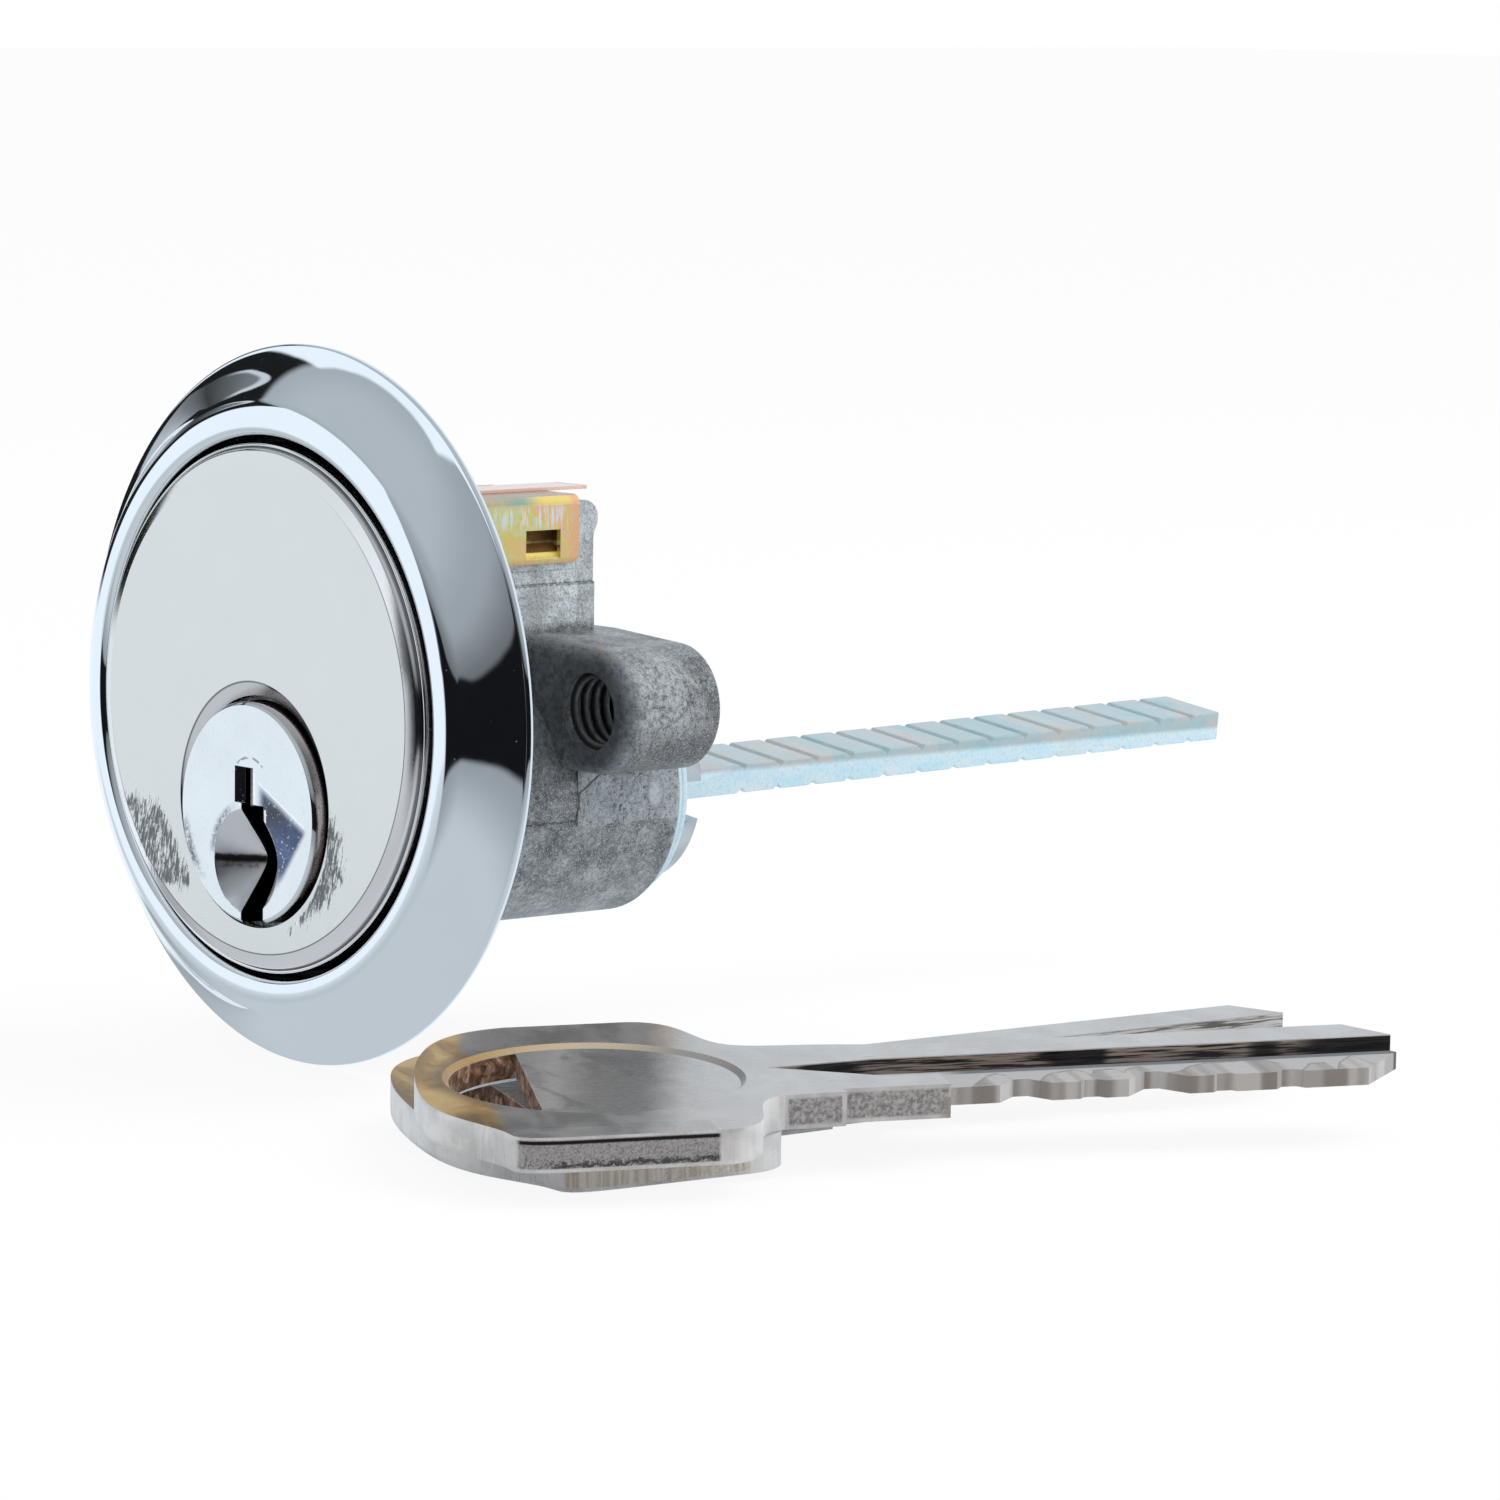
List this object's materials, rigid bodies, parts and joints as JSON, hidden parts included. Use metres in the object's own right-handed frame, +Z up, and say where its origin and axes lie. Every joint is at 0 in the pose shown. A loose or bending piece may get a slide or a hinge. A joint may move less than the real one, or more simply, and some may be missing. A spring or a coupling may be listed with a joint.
{
  "type": "rim lock cylinder",
  "caption": "Rim lock cylinder with trim ring, pin tower, side fixing lugs and a long snap-off tail bar, with a pair of flat keys lying beside it.",
  "frame": {"origin": "centre of the trim ring on the door's outer face", "axes": "+Y along the plug into the door, +Z up through the pin tower, +X to the right seen from the front"},
  "size_m": [0.0846, 0.0984, 0.0454],
  "materials": {
    "rim_ring": "bright chrome plate",
    "face_cap": "polished nickel, lightly scratched",
    "cylinder_body": "raw zinc die casting, mottled grey",
    "chamber_cover": "yellow passivated steel",
    "plug": "bright chrome plate on brass",
    "closing_strip": "yellow passivated steel",
    "thrust_washer": "pale zinc plate",
    "retaining_clip": "pale zinc plate",
    "cross_pin": "bright steel",
    "tail_bar": "pale blue zinc plate",
    "front_key": "nickel silver, brushed",
    "rear_key": "nickel silver, brushed",
    "key_pin_1": "turned brass",
    "driver_pin_1": "turned brass",
    "pin_spring_1": "spring wire",
    "key_pin_2": "turned brass",
    "driver_pin_2": "turned brass",
    "pin_spring_2": "spring wire",
    "key_pin_3": "turned brass",
    "driver_pin_3": "turned brass",
    "pin_spring_3": "spring wire",
    "key_pin_4": "turned brass",
    "driver_pin_4": "turned brass",
    "pin_spring_4": "spring wire",
    "key_pin_5": "turned brass",
    "driver_pin_5": "turned brass",
    "pin_spring_5": "spring wire"
  },
  "bodies": {
    "body": {"rim_ring": "rim_ring", "face_cap": "face_cap", "cylinder_body": "cylinder_body", "chamber_cover": "chamber_cover", "closing_strip": "closing_strip", "pin_spring_1": "pin_spring_1", "pin_spring_2": "pin_spring_2", "pin_spring_3": "pin_spring_3", "pin_spring_4": "pin_spring_4", "pin_spring_5": "pin_spring_5"},
    "plug_body": {"plug": "plug", "thrust_washer": "thrust_washer", "retaining_clip": "retaining_clip", "cross_pin": "cross_pin"},
    "tail": {"tail_bar": "tail_bar"},
    "front_key_body": {"front_key": "front_key"},
    "rear_key_body": {"rear_key": "rear_key"},
    "key_pin_1_body": {"key_pin_1": "key_pin_1"},
    "driver_pin_1_body": {"driver_pin_1": "driver_pin_1"},
    "key_pin_2_body": {"key_pin_2": "key_pin_2"},
    "driver_pin_2_body": {"driver_pin_2": "driver_pin_2"},
    "key_pin_3_body": {"key_pin_3": "key_pin_3"},
    "driver_pin_3_body": {"driver_pin_3": "driver_pin_3"},
    "key_pin_4_body": {"key_pin_4": "key_pin_4"},
    "driver_pin_4_body": {"driver_pin_4": "driver_pin_4"},
    "key_pin_5_body": {"key_pin_5": "key_pin_5"},
    "driver_pin_5_body": {"driver_pin_5": "driver_pin_5"}
  },
  "joints": [
    {"name": "plug_turn", "type": "hinge", "parent": "body", "child": "plug_body", "pos_m": [0, 0, -0.0065], "axis": [0, 1, 0], "continuous": true},
    {"name": "tail_swing", "type": "hinge", "parent": "plug_body", "child": "tail", "pos_m": [0, 0.026, -0.0065], "axis": [0.1219, 0, 0.9925], "range_deg": [-3, 3]},
    {"name": "front_key_lift", "type": "slide", "parent": "body", "child": "front_key_body", "axis": [0, 0, 1], "range_m": [0, 0.04]},
    {"name": "rear_key_draw", "type": "slide", "parent": "body", "child": "rear_key_body", "axis": [0.6521, 0.7581, 0], "range_m": [0, 0.06]},
    {"name": "key_pin_1_drop", "type": "slide", "parent": "plug_body", "child": "key_pin_1_body", "axis": [0, 0, -1], "range_m": [0, 0.00178]},
    {"name": "driver_pin_1_lift", "type": "slide", "parent": "body", "child": "driver_pin_1_body", "axis": [0, 0, 1], "range_m": [0, 0.002], "stiffness_N_per_m": 150, "springref_m": -0.004, "deforming": ["pin_spring_1"]},
    {"name": "key_pin_2_drop", "type": "slide", "parent": "plug_body", "child": "key_pin_2_body", "axis": [0, 0, -1], "range_m": [0, 0.00273]},
    {"name": "driver_pin_2_lift", "type": "slide", "parent": "body", "child": "driver_pin_2_body", "axis": [0, 0, 1], "range_m": [0, 0.002], "stiffness_N_per_m": 150, "springref_m": -0.004, "deforming": ["pin_spring_2"]},
    {"name": "key_pin_3_drop", "type": "slide", "parent": "plug_body", "child": "key_pin_3_body", "axis": [0, 0, -1], "range_m": [0, 0.00148]},
    {"name": "driver_pin_3_lift", "type": "slide", "parent": "body", "child": "driver_pin_3_body", "axis": [0, 0, 1], "range_m": [0, 0.002], "stiffness_N_per_m": 150, "springref_m": -0.004, "deforming": ["pin_spring_3"]},
    {"name": "key_pin_4_drop", "type": "slide", "parent": "plug_body", "child": "key_pin_4_body", "axis": [0, 0, -1], "range_m": [0, 0.00278]},
    {"name": "driver_pin_4_lift", "type": "slide", "parent": "body", "child": "driver_pin_4_body", "axis": [0, 0, 1], "range_m": [0, 0.002], "stiffness_N_per_m": 150, "springref_m": -0.004, "deforming": ["pin_spring_4"]},
    {"name": "key_pin_5_drop", "type": "slide", "parent": "plug_body", "child": "key_pin_5_body", "axis": [0, 0, -1], "range_m": [0, 0.00258]},
    {"name": "driver_pin_5_lift", "type": "slide", "parent": "body", "child": "driver_pin_5_body", "axis": [0, 0, 1], "range_m": [0, 0.002], "stiffness_N_per_m": 150, "springref_m": -0.004, "deforming": ["pin_spring_5"]}
  ]
}
